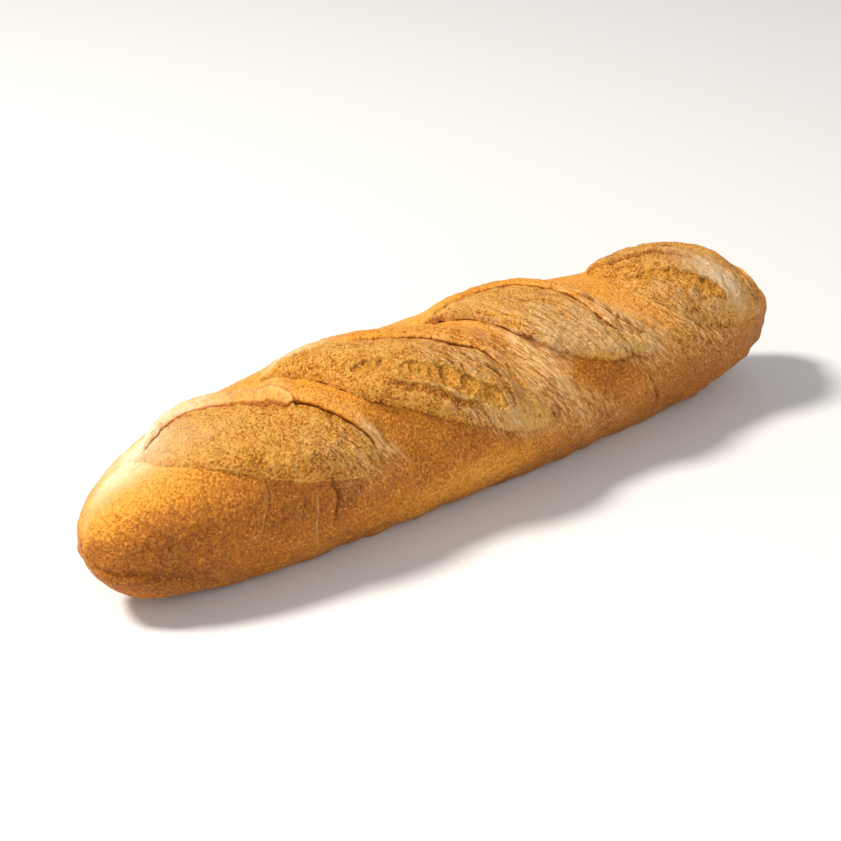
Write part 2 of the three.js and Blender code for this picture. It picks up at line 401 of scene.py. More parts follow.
# Cracks over the crust: [x, turn] corners, millimetres deep and wide, and how pale the rim beside them is.
cracks = [
    {
        "path": [(-96.4, 57), (-97, 69), (-98.1, 78), (-99.8, 85), (-101.5, 98)],
        "deep": 0.5, "wide": 0.3, "pale": 0.6,
    },
    {
        "path": [(-84.6, 75), (-85.8, 85), (-87, 94)],
        "deep": 0.3, "wide": 0.3, "pale": 0.3,
    },
    {
        "path": [(-79.7, 70), (-80.3, 86), (-80.9, 100), (-78.5, 118), (-76.5, 132)],
        "deep": 0.5, "wide": 0.3, "pale": 1,
    },
    {
        "path": [(-74.5, 71), (-72.9, 80), (-72.3, 86), (-73.5, 96), (-73.8, 104)],
        "deep": 1.5, "wide": 0.6, "pale": 0,
    },
    {
        "path": [(-64.1, 82), (-64.1, 89)],
        "deep": 0.5, "wide": 0.5, "pale": 0.3,
    },
    {
        "path": [(63, 80), (65.4, 86), (67, 91)],
        "deep": 0.8, "wide": 0.5, "pale": 0.2,
    },
    {
        "path": [(68.2, 95), (70.6, 102), (73.4, 112), (72.6, 117)],
        "deep": 1.4, "wide": 0.6, "pale": 0.4,
    },
]

# Small holes, long, wide and deep in millimetres.
holes = [
    {"x": 55.6, "turn": 64.2, "long": 1.5, "wide": 0.9, "angle": 100, "deep": 1.6},
    {"x": 53.1, "turn": 66.9, "long": 0.8, "wide": 0.7, "deep": 0.8},
    {"x": 49.2, "turn": 66, "long": 0.8, "wide": 0.6, "deep": 0.7},
    {"x": 18, "turn": 84.6, "long": 0.9, "wide": 0.6, "angle": 90, "deep": 0.8},
    {"x": 9, "turn": 80, "long": 0.7, "wide": 0.7, "deep": 0.6},
    {"x": 51.8, "turn": 26.4, "long": 2.6, "wide": 0.7, "angle": 50, "deep": 0.8},
    {"x": 64.4, "turn": 53.1, "long": 1, "wide": 0.7, "deep": 1.2},
]

# Broad swellings of the loaf in millimetres, beyond the plain form.
swellings = [
    {"x": -134, "turn": 138, "long": 16, "wide": 13, "angle": 0, "high": 2.6},
    {"x": 86, "turn": 104, "long": 34, "wide": 14, "angle": 0, "high": -1.2},
    {"x": 76, "turn": 128, "long": 40, "wide": 14, "angle": 0, "high": -1.9},
    {"x": -139, "turn": -40, "long": 22, "wide": 22, "angle": 0, "high": -0.9},
    {"x": -20, "turn": -6, "long": 12, "wide": 8, "angle": 0, "high": -1.1},
    {"x": 81, "turn": -2, "long": 11, "wide": 8, "angle": 0, "high": -1.1},
    {"x": 114, "turn": 17, "long": 9, "wide": 9, "angle": 0, "high": 1.2},
    {"x": -81, "turn": -3, "long": 11, "wide": 7, "high": -1.5},
    {"x": 104, "turn": -6, "long": 18, "wide": 14, "angle": 0, "high": 1.6},
    {"x": 129, "turn": 12, "long": 11, "wide": 14, "angle": 0, "high": -1.8},
    {"x": 138, "turn": 95, "long": 14, "wide": 18, "angle": 0, "high": -1.2},
    {"x": -67, "turn": -9, "long": 8, "wide": 7, "high": 1.5},
]

# The crease above the rounded underside at the near end, with the swelling below it.
baseCrease = {
    "path": [
        (-147.5, 132), (-145, 122), (-139, 114), (-132.8, 115.5), (-125, 118), (-119, 126), (-114, 136),
    ],
    "deep": 1.1,
    "wide": 1.3,
    "bend": (1.2, 6, 33),
    "swelling": 0.7,
    "swellingAt": -4,
    "swellingWide": 3,
    "brown": 0.35,
    "brownAt": 0.8,
    "brownWide": 2.2,
}

# Folds over the opened dough and the crust beside it: the side above the line stands high millimetres
# higher and comes down over its reach, and a groove of its own depth and width runs along it. Paths are
# [share, beside].
folds = [
    {
        "slash": 0, "high": 0.9, "reach": 2.4, "groove": 0.7, "wide": 0.5,
        "path": [
            (0.632, 14.2), (0.624, 16.2), (0.61, 18.6), (0.593, 20.8), (0.565, 23), (0.535, 24.2),
            (0.505, 24), (0.48, 23),
        ],
    },
    {
        "slash": 1, "high": 1.0, "reach": 2.6, "groove": 0.9, "wide": 0.5,
        "path": [
            (0.6, 12.6), (0.637, 11), (0.68, 9.2), (0.715, 7.5), (0.748, 4.4), (0.77, 0.8),
            (0.775, -2.3),
        ],
    },
    {
        "slash": 2, "high": 1.5, "reach": 2.4, "groove": 0.7, "wide": 0.6,
        "path": [
            (0.65, 14), (0.694, 12.5), (0.732, 10.4), (0.774, 7.9), (0.832, 6.1), (0.869, 5.1),
            (0.915, 3.1),
        ],
    },
    {
        "slash": 3, "high": 1.4, "reach": 4, "groove": 1.4, "wide": 0.7,
        "path": [
            (0.0, 1), (0.05, 0.2), (0.112, 0.6), (0.185, 2.4), (0.27, 5.2), (0.331, 6.6), (0.4, 7.4),
            (0.478, 6.6), (0.53, 4.6), (0.57, 2.4),
        ],
    },
    {
        "slash": 3, "high": 0.5, "reach": 2.5, "groove": 0.5, "wide": 0.4,
        "path": [(0.3, 11), (0.335, 12.4), (0.396, 14), (0.47, 13.4), (0.518, 12.4), (0.56, 10.4)],
    },
    {
        "slash": 3, "high": 0.6, "reach": 2.5, "groove": 0.8, "wide": 0.5,
        "path": [(0.66, 28), (0.739, 24), (0.8, 17.4), (0.862, 14.4)],
    },
    {
        "slash": 3, "high": 0.5, "reach": 2, "groove": 0.6, "wide": 0.45,
        "path": [(0.72, 13.6), (0.747, 11.6), (0.782, 8.2), (0.829, 5.4), (0.866, 3.1)],
    },
]

# What all folds share, in millimetres beside the line.
fold = {
    "bend": 0.35,
    "bendSize": 2.5,
    "seed": 90,
    "step": 0.7,  # the fold rises over this width
    "grooveAt": -0.2,
    "brown": 1.4,
    "pale": 0.35,  # along the fold's top
    "paleAt": 1.2,
    "paleWide": 0.8,
}


def addFolds(x, turn, rise, marks):
    unrolled = flat(x, turn * turnLength)
    for number, line in enumerate(folds):
        path = [onCrust(slashes[line["slash"]], share, beside) for share, beside in line["path"]]
        away, gone = besidePath(path, x, turn)
        away = away + bumps(unrolled, fold["bend"], fold["bendSize"], fold["seed"] + number)
        fade = np.where((gone <= 0) | (gone >= 1), 0, fadeAtEnds(np.clip(gone, 0, 1)))
        height = line["high"] * fade * smoothStep(0, fold["step"], away)
        rise = rise + height * bell(np.maximum(away, 0), 0, line["reach"])
        # The groove is painted browner: painted shade in the fold's crease.
        groove = fade * bell(away, fold["grooveAt"], line["wide"])
        rise = rise - line["groove"] * groove
        marks["bakeAndShade"] = marks["bakeAndShade"] + fold["brown"] * groove
        top = fade * bell(away, fold["paleAt"], fold["paleWide"])
        marks["pale"] = marks["pale"] * (1 - groove) + fold["pale"] * top
    return rise


# What the whole surface has in common. Bumps are [height, size, seed, layers], fibres [wide, long, seed]
# and the other lengths millimetres.
skin = {
    "waves": (0.35, 17, 3, 2),
    "grain": (0.17, 3.2, 5, 4),
    "broadFibres": (1.3, 9, 21),
    "fineFibres": (0.7, 5, 22),
    "fineShare": 0.8,
    "fibreHeight": 0.38,
    "flourCover": 0.8,
    "flourClouds": (0.35, 4, 15, 3),
    "flourFibres": 0.5,
    "paleCover": 0.7,
    "paleClouds": (0.35, 4, 17, 3),
    "paleFibres": 0.45,
    "leastFibre": -0.6,
    "gapBrown": 0.6,
    "gapFrom": 0.35,
    "crumbClouds": (0.16, 2.2, 19, 2),
    "crumbEdge": (0.25, 0.5),
    "crumbCover": 1.05,
    "crumbMottle": (0.3, 1.4, 20, 2),
    "crumbOverPale": 0.7,
    "pores": (1, 1.7, 24),
    "poreEdge": (0.1, 0.45),
    "poreDepth": 0.45,
    "poreShade": 0.6,
    "holeBrown": 1.3,
    "crackShares": (0.02, 0.98),  # a crack is never quite shut at its ends
    "crackBend": (0.25, 4, 31),
    "crackRimAt": -1.6,  # in crack widths
    "crackRimWide": 0.8,
    "crackRimHeight": 0.5,
    "crackBrown": 1.1,
    "crackRimPale": 0.7,
    "lowTurns": (96, 118),  # the sides meet the tray past these turns
    "baseTurns": (165, 140),
    "lowBumps": (0.75, 6, 35, 2),
    "roughPlace": {"x": -132, "turn": 82, "long": 15, "wide": 12, "angle": 0},
    "roughBumps": (0.3, 1.4, 37),
}


# Height in millimetres over the plain form, and the marks that colour it.
def surface(x, turn):
    base = bodyPoint(x, turn)
    rise = bumps(base, *skin["waves"]) + bumps(base, *skin["grain"])
    marks = {name: np.zeros_like(x) for name in places}
    for name, spots in places.items():
        for place in spots:
            marks[name] = marks[name] + place["amount"] * hill(x, turn, place)
    marks["streak"] = np.clip(marks["streak"], 0, 1)
    pulled = fibres(x, turn, *skin["broadFibres"]) + skin["fineShare"] * fibres(x, turn, *skin["fineFibres"])
    drawn = marks["streak"] * pulled
    rise = rise + skin["fibreHeight"] * drawn
    clouds = skin["flourCover"] + bumps(base, *skin["flourClouds"])
    marks["flourAndHighlight"] = marks["flourAndHighlight"] * (clouds + skin["flourFibres"] * drawn)
    marks["pale"] = np.clip(marks["pale"], 0, 1) * (skin["paleCover"] + bumps(base, *skin["paleClouds"]))
    threads = np.clip(pulled, skin["leastFibre"], 1)
    marks["pale"] = marks["pale"] + skin["paleFibres"] * marks["streak"] * threads
    gaps = np.clip(-pulled - skin["gapFrom"], 0, 1)
    marks["bakeAndShade"] = marks["bakeAndShade"] + skin["gapBrown"] * marks["streak"] * gaps
    marks["crumb"] = smoothStep(*skin["crumbEdge"], marks["crumb"] + bumps(base, *skin["crumbClouds"]))
    # The open crumb is pitted by pores of a millimetre or two.
    pore = smoothStep(*skin["poreEdge"], bumps(base, *skin["pores"]))
    rise = rise - skin["poreDepth"] * marks["crumb"] * pore
    mottle = skin["crumbCover"] + bumps(base, *skin["crumbMottle"])
    marks["crumb"] = marks["crumb"] * (mottle - skin["poreShade"] * pore)
    marks["pale"] = marks["pale"] * (1 - skin["crumbOverPale"] * np.clip(marks["crumb"], 0, 1))
    # Holes are painted browner inside: painted shade in the recess.
    for hole in holes:
        pit = hill(x, turn, hole)
        rise = rise - hole["deep"] * pit
        marks["bakeAndShade"] = marks["bakeAndShade"] + skin["holeBrown"] * pit
        for name in ("pale", "crumb"):
            marks[name] = marks[name] * (1 - pit)
    # Cracks are painted darker along their line, a painted shade in the crack, and paler on the raised rim
    # to one side, a painted highlight.
    for crack in cracks:
        away, gone = besidePath(crack["path"], x, turn)
        away = away + bumps(base, *skin["crackBend"])
        depth = fadeAtEnds(np.clip(gone, *skin["crackShares"]))
        line = bell(away, 0, crack["wide"]) * depth
        edge = bell(away, skin["crackRimAt"] * crack["wide"], skin["crackRimWide"] * crack["wide"]) * depth
        rise = rise - crack["deep"] * line + skin["crackRimHeight"] * crack["pale"] * crack["deep"] * edge
        marks["bakeAndShade"] = marks["bakeAndShade"] + (skin["crackBrown"] - skin["crackRimPale"] * crack["pale"]) * line
        marks["pale"] = marks["pale"] + skin["crackRimPale"] * crack["pale"] * edge
    away, gone = besidePath(baseCrease["path"], x, turn)
    away = away + bumps(base, *baseCrease["bend"])
    depth = fadeAtEnds(np.clip(gone, 0, 1))
    rise = rise - baseCrease["deep"] * depth * bell(away, 0, baseCrease["wide"])
    mound = bell(away, baseCrease["swellingAt"], baseCrease["swellingWide"])
    rise = rise + baseCrease["swelling"] * depth * mound
    # Painted shade along the crease, just to one side of it.
    brown = bell(away, baseCrease["brownAt"], baseCrease["brownWide"])
    marks["bakeAndShade"] = marks["bakeAndShade"] + baseCrease["brown"] * depth * brown
    for swelling in swellings:
        rise = rise + swelling["high"] * hill(x, turn, swelling)
    # Small bumps where the crust met the tray, low on both sides.
    low = smoothStep(*skin["lowTurns"], np.abs(turn)) * smoothStep(*skin["baseTurns"], np.abs(turn))
    rise = rise + low * bumps(base, *skin["lowBumps"])
    rise = rise + hill(x, turn, skin["roughPlace"]) * bumps(base, *skin["roughBumps"])
    rise = addFolds(x, turn, rise, marks)
    return rise, marks


# Meshes.
def setMesh(piece, points, marks, x, turn):
    mesh = piece.data
    mesh.vertices.foreach_set("co", (points * millimetre).astype(np.float32).ravel())
    unrolled = flat(x, turn * turnLength) * millimetre
    for name, values in {**marks, "unrolled": unrolled}.items():
        kind = "FLOAT_VECTOR" if np.ndim(values) == 2 else "FLOAT"
        layer = mesh.attributes.new(name, kind, "POINT")
        field = "vector" if kind == "FLOAT_VECTOR" else "value"
        layer.data.foreach_set(field, np.asarray(values, dtype=np.float32).ravel())
    mesh.update()


def corners(piece):
    mesh = piece.data
    values = np.empty(len(mesh.vertices) * 3, dtype=np.float32)
    mesh.vertices.foreach_get("co", values)
    return values.reshape(-1, 3).astype(float)


# The border of an open sheet goes down into the loaf, towards a point there, and is closed.
drawnIn = 0.8  # share that is left of its distance to that point


def closeInside(piece, target):
    bpy.ops.object.mode_set(mode="EDIT")
    bpy.ops.mesh.select_mode(type="EDGE")
    bpy.ops.mesh.select_all(action="DESELECT")
    bpy.ops.mesh.select_non_manifold()
    bpy.ops.mesh.extrude_edges_move()
    bpy.ops.transform.resize(value=(drawnIn, drawnIn, drawnIn), center_override=tuple(target * millimetre))
    bpy.ops.mesh.edge_face_add()
    bpy.ops.mesh.select_all(action="SELECT")
    bpy.ops.mesh.normals_make_consistent(inside=False)
    bpy.ops.object.mode_set(mode="OBJECT")


# A point inside the loaf under the middle of a slash.
def insidePoint(slash, beside, depth):
    x, turn = onCrust(slash, np.array([0.5]), beside)
    return crustPoint(x, turn, np.array([float(depth)]))[0]


def finishPiece(piece, name, material):
    piece.name = name
    piece.data.name = name
    piece.data.materials.clear()
    piece.data.materials.append(material)
    bpy.ops.object.select_all(action="DESELECT")
    piece.select_set(True)
    bpy.context.view_layer.objects.active = piece
    bpy.ops.object.shade_smooth()
    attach(piece, "root")
    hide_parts("baguette")
    print(name, len(piece.data.polygons), "faces")


# Materials.
def linear(code):
    channels = [int(code[i : i + 2], 16) / 255 for i in (1, 3, 5)]
    return [c / 12.92 if c <= 0.04045 else ((c + 0.055) / 1.055) ** 2.4 for c in channels] + [1]


def addNode(tree, kind, settings=None, inputs=None):
    node = tree.nodes.new("ShaderNode" + kind)
    for name, value in (settings or {}).items():
        setattr(node, name, value)
    for name, value in (inputs or {}).items():
        if isinstance(value, bpy.types.NodeSocket):
            tree.links.new(value, node.inputs[name])
        else:
            node.inputs[name].default_value = value
    return node


# Sizes in metres. Browning, painted shade included, runs from -1 for light over 0 for gold and 1 for
# brown to 2 for dark, and a spread is how much of it a noise adds from its low parts to its high ones.
# patch, mottle and grain are noises of [size, detail, roughness] and thread has [detail, waves]. An edge is
# where on its noise or on the browning a colour begins and where it is full.
bakedCrust = {
    "light": "#ffc96f",
    "colours": {
        "gold": "#f0a334", "brown": "#be711b", "dark": "#7c4109", "speck": "#f0bc6a",
        "crumb": "#ffc45a", "thread": "#ffcc8c", "flourAndHighlight": "#ffe6bd",
    },
    "goldEdge": (-1.1, -0.1),
    "leastGold": 0.3,
    "brownEdge": (0, 1),
    "darkEdge": (1, 2.4),
    "noiseRange": (0.3, 0.7),
    "patch": (0.030, 3, 0.5),
    "patchSpread": 0.35,
    "mottle": (0.006, 4, 0.6),
    "mottleSpread": 0.4,
    "grain": (0.0010, 3, 0.75),
    "grainSpread": 2.2,
    "speckSpacing": 0.0018,
    "speckEdge": (0.27, 0.1),
    "speckCover": 0.6,
    "flouryEdge": (0.5, 0.8),
    "fibreLong": 0.004,
    "fibreWide": 0.0007,
    "thread": (2, 0.6),
    "threadEdge": (0.49, 0.58),
    "threadCover": 0.9,
    "gapEdge": (0.47, 0.4),
    "gapBrown": 0.8,
    "dustEdge": (0.36, 0.6),
    "leastDust": 0.4,
    "crumbEdge": (0.4, 0.6),
    "leastCrumb": 0.2,
    "lumps": 0.0009,
    "pores": 0.0012,
    "fibres": 0.0010,
    "roughness": 0.58,
    "roughnessSpread": 0.1,
    "roughnessRange": (0.2, 0.8),
    "ior": 1.45,
    "specular": 0.3,
}


# Baked wheat crust: matt to satin, its sugars browned to gold and brown in patches of a few centimetres,
# mottled by small blisters of half a millimetre, floury where the dough was dusted, drawn into pale fibres
# less than a millimetre wide where it was pulled apart, with a yellowish crumb where it tore open. The
# marks also bring painted shade into the browning and painted highlight into the flour.
def crustMaterial(name, look):
    material = bpy.data.materials.new(name)
    material.use_nodes = True
    tree = material.node_tree
    tree.nodes.clear()
    place = addNode(tree, "TexCoord").outputs["Object"]
    mark = {}
    for key in ("bakeAndShade", "flourAndHighlight", "pale", "crumb", "streak"):
        mark[key] = addNode(tree, "Attribute", {"attribute_name": key}).outputs["Fac"]
    unrolled = addNode(tree, "Attribute", {"attribute_name": "unrolled"}).outputs["Vector"]
    noise = {}
    for key in ("patch", "mottle", "grain"):
        size, detail, roughness = look[key]
        noise[key] = addNode(
            tree, "TexNoise", {},
            {"Scale": 1 / size, "Detail": detail, "Roughness": roughness, "Vector": place},
        ).outputs["Fac"]
    specks = addNode(tree, "TexVoronoi", {}, {"Scale": 1 / look["speckSpacing"], "Vector": place})
    pulled = addNode(
        tree, "Mapping", {"vector_type": "TEXTURE"},
        {
            "Vector": unrolled, "Rotation": (0, 0, math.radians(pull["angle"])),
            "Scale": (look["fibreLong"], look["fibreWide"], 1),
        },
    ).outputs["Vector"]
    detail, waves = look["thread"]
    thread = addNode(
        tree, "TexNoise", {}, {"Scale": 1, "Detail": detail, "Distortion": waves, "Vector": pulled}
    ).outputs["Fac"]
    # How brown it is, with the painted shade from the marks.
    browningAndShade = mark["bakeAndShade"]
    for key, source in noise.items():
        low, high = look["noiseRange"]
        spread = look[key + "Spread"]
        part = addNode(
            tree, "MapRange", {"clamp": False},
            {
                "Value": source, "From Min": low, "From Max": high,
                "To Min": -spread / 2, "To Max": spread / 2,
            },
        ).outputs["Result"]
        browningAndShade = addNode(tree, "Math", {"operation": "ADD"}, {0: browningAndShade, 1: part}).outputs[0]
    # Between the drawn fibres the dough is browner.
    begins, full = look["gapEdge"]
    gap = addNode(
        tree, "MapRange", {},
        {"Value": thread, "From Min": begins, "From Max": full, "To Min": 0, "To Max": look["gapBrown"]},
    ).outputs["Result"]
    browningAndShade = addNode(
        tree, "Math", {"operation": "MULTIPLY_ADD"}, {0: gap, 1: mark["streak"], 2: browningAndShade}
    ).outputs[0]
    # How far the browning with its painted shade and the noises have gone from where each colour
    # begins to where it is full.
    gone = {}
    for key, source, least, most in (
        ("gold", browningAndShade, look["leastGold"], 1),
        ("brown", browningAndShade, 0, 1),
        ("dark", browningAndShade, 0, 1),
        ("speck", specks.outputs["Distance"], 0, look["speckCover"]),
        ("floury", specks.outputs["Color"], 0, 1),
        ("crumb", noise["grain"], look["leastCrumb"], 1),
        ("dust", noise["grain"], look["leastDust"], 1),
        ("thread", thread, 0, look["threadCover"]),
    ):
        begins, full = look[key + "Edge"]
        gone[key] = addNode(
            tree, "MapRange", {},
            {"Value": source, "From Min": begins, "From Max": full, "To Min": least, "To Max": most},
        ).outputs["Result"]
    # Some of the blisters are pale specks. Crumb, pale crust and flour lie on the high parts of the grain,
    # and pale threads on the drawn fibres.
    cover = {}
    for key, one, other in (
        ("speck", gone["speck"], gone["floury"]),
        ("crumb", mark["crumb"], gone["crumb"]),
        ("pale", mark["pale"], gone["dust"]),
        ("flourAndHighlight", mark["flourAndHighlight"], gone["dust"]),
        ("fibre", thread, mark["streak"]),
    ):
        cover[key] = addNode(tree, "Math", {"operation": "MULTIPLY"}, {0: one, 1: other}).outputs[0]
    cover["thread"] = addNode(
        tree, "Math", {"operation": "MULTIPLY_ADD", "use_clamp": True},
        {0: gone["thread"], 1: mark["streak"], 2: cover["pale"]},
    ).outputs[0]
    colour = linear(look["light"])
    for shares, over in (
        (gone, "gold"), (gone, "brown"), (gone, "dark"), (cover, "speck"), (cover, "crumb"),
        (cover, "thread"), (cover, "flourAndHighlight"),
    ):
        colour = addNode(
            tree, "Mix", {"data_type": "RGBA"},
            {0: shares[over], 6: colour, 7: linear(look["colours"][over])},
        ).outputs[2]
    normal = addNode(
        tree, "Bump", {}, {"Strength": 1, "Distance": look["lumps"], "Height": noise["mottle"]}
    ).outputs["Normal"]
    for depth, height in (("pores", noise["grain"]), ("fibres", cover["fibre"])):
        normal = addNode(
            tree, "Bump", {}, {"Strength": 1, "Distance": look[depth], "Height": height, "Normal": normal}
        ).outputs["Normal"]
    low, high = look["roughnessRange"]
    shine = addNode(
        tree, "MapRange", {},
        {
            "Value": noise["mottle"], "From Min": low, "From Max": high,
            "To Min": look["roughness"] - look["roughnessSpread"],
            "To Max": look["roughness"] + look["roughnessSpread"],
        },
    ).outputs["Result"]
    shader = addNode(
        tree, "BsdfPrincipled", {},
        {
            "Base Color": colour, "Normal": normal, "Roughness": shine,
            "IOR": look["ior"], "Specular IOR Level": look["specular"],
        },
    )
    addNode(tree, "OutputMaterial", {}, {"Surface": shader.outputs["BSDF"]})
    return material


# The dough that opened in the oven: the same crust, thinner, rougher and more strongly mottled.
openedDough = {
    **bakedCrust,
    "mottleSpread": 1.4,
    "grain": (0.0009, 3, 0.75),
    "grainSpread": 3.9,
    "speckSpacing": 0.0016,
    "lumps": 0.0014,
    "pores": 0.0022,
    "fibres": 0.0014,
}

crustFinish = crustMaterial("bakedWheatCrust", bakedCrust)
doughFinish = crustMaterial("openedDoughCrust", openedDough)
print("materials done")

# The crust, sunk under the opened dough and hidden under the rims. Lengths are in millimetres, and a pair
# says where something begins and where it is full, over the share of the slash where the name says
# shares.
crust = {
    "stations": 520,
    "facesRound": 190,
    "endCrowding": 1.25,  # the stations lie closer towards the ends
    "denseTurn": 62,  # the faces lie closer round this turn
    "denseShare": 0.55,
    "closing": 0.12,
    "openShares": (0.02, 0.1),
    "lipReach": 7,
    "lipTop": 3,  # the crust stays high this far past the rim
    "lipStart": -4,
    "foot": 3.5,  # how far the crust is sunk under the dough
    "shutFoot": 2,  # and how much further where the crease under the rim is shut
    "footEdge": (1.4, 4.5),
    "footPast": 2.5,  # it is sunk up to this far past the rim
    "tuck": 0.25,  # how far it is sunk under the rim's strip
    "tuckEdge": (9, 6),
    "hollowAt": 5,
    "hollowReach": 5,
    "hollowStart": -3,
    "hollowShares": (0.25, 0.6),
    "shadeShares": (0.2, 0.38),
    "shadeEndShares": (1, 0.94),
    "shadeEdge": (-0.4, 0.4),
    # topBrown and sideBrown set the browning over the top and down the sides, the side part partly painted
    # shade.
    "topBrown": 0.12,
    "sideBrown": 0.98,
    "sideTurns": (38, 92),
}


# How open the crease under a slash's rim is: it closes towards the slash's ends.
def openness(slash, share):
    closed = slash["closes"]
    return smoothStep(closed, closed - crust["closing"], share) * smoothStep(*crust["openShares"], share)


# Height of the crust beside a slash, falling off past the rim.
def lipHeight(slash, share, pastRim):
    shares, heights = zip(*slash["lip"])
    top = slash["crease"] + (np.interp(share, shares, heights) - slash["crease"]) * openness(slash, share)
    return top * fadeAtEnds(share) * bell(np.maximum(0, pastRim - crust["lipTop"]), 0, crust["lipReach"])


# How far a point lies along a slash, from its upper edge's rim, and above and below its lower edge.
def besideSlash(slash, x, turn):
    share, beside = onSlash(slash, x, turn)
    inside = (share > 0) & (share < 1)
    share = np.clip(share, 0, 1)
    pastRim = beside - curve(slash["upper"], share) - curve(slash["wall"], share)
    return share, inside, pastRim, beside - curve(slash["lower"], share)


def aroundSlashes(x, turn):
    rise = np.zeros_like(x)
    brown = np.zeros_like(x)
    for slash in slashes:
        share, inside, pastRim, above = besideSlash(slash, x, turn)
        high = inside & (pastRim > crust["lipStart"])
        rise = np.maximum(rise, np.where(high, lipHeight(slash, share, pastRim), 0))
        under = -above
        sink = slash["hollow"] * smoothStep(*crust["hollowShares"], share) * fadeAtEnds(share) * inside
        near = bell(under, crust["hollowAt"], crust["hollowReach"]) * (under > crust["hollowStart"])
        rise = rise - sink * near
        # Painted shade on the crust below the slash's overhanging lower edge, over its own browner colour.
        shade = slash["shade"] * smoothStep(*crust["shadeShares"], share) * inside
        shade = shade * smoothStep(*crust["shadeEndShares"], share)
        shade = shade * smoothStep(*crust["shadeEdge"], under) * bell(under, 0, slash["shadeReach"])
        brown = np.maximum(brown, shade)
    return rise, brown


# Browner down the sides: partly the crust's own colour, partly painted shade on the sides turned from the
# key light.
def sideBrowningAndShade(turn):
    return crust["topBrown"] + crust["sideBrown"] * smoothStep(*crust["sideTurns"], np.abs(turn))


def makeCrust():
    bpy.ops.object.select_all(action="DESELECT")
    bpy.ops.mesh.primitive_uv_sphere_add(
        segments=crust["facesRound"], ring_count=crust["stations"], radius=1, rotation=(0, math.pi / 2, 0)
    )
    piece = bpy.context.object
    bpy.ops.object.transform_apply(location=False, rotation=True, scale=False)
    ball = corners(piece)
    side = np.arcsin(np.clip(ball[:, 0], -1, 1)) / (math.pi / 2)
    share = np.sign(side) * (1 - (1 - np.abs(side)) ** crust["endCrowding"])
    x = share * loaf["length"] / 2
    even = np.degrees(np.arctan2(-ball[:, 1], ball[:, 2]))
    turn = even - np.degrees(crust["denseShare"]) * np.sin(np.radians(even - crust["denseTurn"]))
    turn = (turn + 180) % 360 - 180
    rise, marks = surface(x, turn)
    around, brown = aroundSlashes(x, turn)
    rise = rise + around
    for slash in slashes:
        share, inside, pastRim, above = besideSlash(slash, x, turn)
        inside = inside & (above > 0)
        foot = crust["foot"] + crust["shutFoot"] * (1 - openness(slash, share))
        sunk = foot * fadeAtEnds(share) * smoothStep(*crust["footEdge"], above)
        rise = np.where(inside & (pastRim <= crust["footPast"]), rise - sunk, rise)
        underRim = inside & (pastRim > crust["footPast"]) & (pastRim < crust["tuckEdge"][0])
        rise = np.where(underRim, rise - crust["tuck"] * smoothStep(*crust["tuckEdge"], pastRim), rise)
    points = crustPoint(x, turn, rise)
    points[:, 2] = np.maximum(points[:, 2], 0)
    # Painted shade below the slashes' lower edges and down the sides goes into the crust's browning here.
    marks["bakeAndShade"] = marks["bakeAndShade"] + brown + sideBrowningAndShade(turn)
    setMesh(piece, points, marks, x, turn)
    finishPiece(piece, "crust", crustFinish)


makeCrust()

# Dough opened in the slashes. Lengths are in millimetres and shares lie along the slash. A pair says where
# something begins and where it is full, bumps are [height, size, seed] and fibres [wide, long, seed].
dough = {
    "stepAlong": 0.32,
    "rows": 116,
    "edgeRows": 14,
    "shares": (0.012, 0.988),  # the mesh's first and last stations
    "underLip": 1.6,  # how far it reaches under the rim
    "beneath": 1,  # the crust's height is taken this far below the lower edge
    "narrowest": 0.1,
    "sillShares": (0.1, 0.45),
    "startDrops": [(0.3, (0.5, 0.25)), (0.8, (0.2, 0.05))],
    "backPower": 1.7,
    "edgeWobble": (0.35, 3, 50),
    "ledgeShares": (0.2, 0.5),
    "ledgeOut": 0.8,
    "creaseSink": 0.5,
    "shutRise": 0.1,
    "creaseEdge": (-1.2, 0),
    "thick": 0.1,  # of the edge that rolls over, with thickMore added where the slash is well open
    "thickMore": 0.8,
    "tuckIn": 2.5,
    "tuckDown": 1,
    "tuckRows": (0.8, 1),
    "bodyRows": (0, 0.3),
    "quietShares": (0.5, 0.3),
    "quietEdge": (4, 0),
    "flakes": (2.4, 60, 3),
    "flakeHeight": 0.32,
    "fibres": (1.0, 3.4, 66),
    "fibreHeight": 0.22,
    "flakeBrown": 0.35,
    # sideShare takes the crust's browning down the sides, which is partly painted shade.
    "sideShare": 0.5,  # of the crust's browning
    "paler": 0.16,
    "edgeBrown": 0.8,
    "edgeBrownRows": (0.05, 0.5),
    "lowBrown": 0.2,
    "lowEdge": (6, 1),
    "creaseAt": -0.2,
    "creaseWide": 0.8,
    "creasePale": 0.9,
    "rimAt": 0.3,
    "rimWide": 0.35,
    "rimShares": (0.3, 0.45),
    "rimCrumb": 0.3,
    "rimLight": 0.4,
    "inside": -24,
}


# Height of the dough over the plain form.
def doughLevel(k, share, beside):
    slash = slashes[k]
    fade = fadeAtEnds(share)
    upper = curve(slash["upper"], share)
    lower = curve(slash["lower"], share)
    x, turn = onCrust(slash, share, lower - dough["beneath"])
    beneath = np.maximum(aroundSlashes(x, turn)[0], 0)
    sill = np.maximum(beneath, slash["sill"] * fade * smoothStep(*dough["sillShares"], share))
    t = np.clip((beside - lower) / np.maximum(upper - lower, dough["narrowest"]), 0, 1)
    falling = np.clip((slash["crest"] - t) / slash["crest"], 0, 1)
    rising = np.clip((t - slash["crest"]) / (1 - slash["crest"]), 0, 1)
    power, blunt = slash["front"]
    front = (1 - falling**power) ** blunt
    for drop, shares in dough["startDrops"]:
        sill = sill - drop * smoothStep(*shares, share)
    crest = np.maximum(slash["puff"] * fade * smoothStep(0, slash["tip"], share), sill)
    crease = slash["crease"] * fade
    back = crease + (crest - crease) * (1 - rising ** dough["backPower"])
    return np.where(t > slash["crest"], back, sill + (crest - sill) * front)


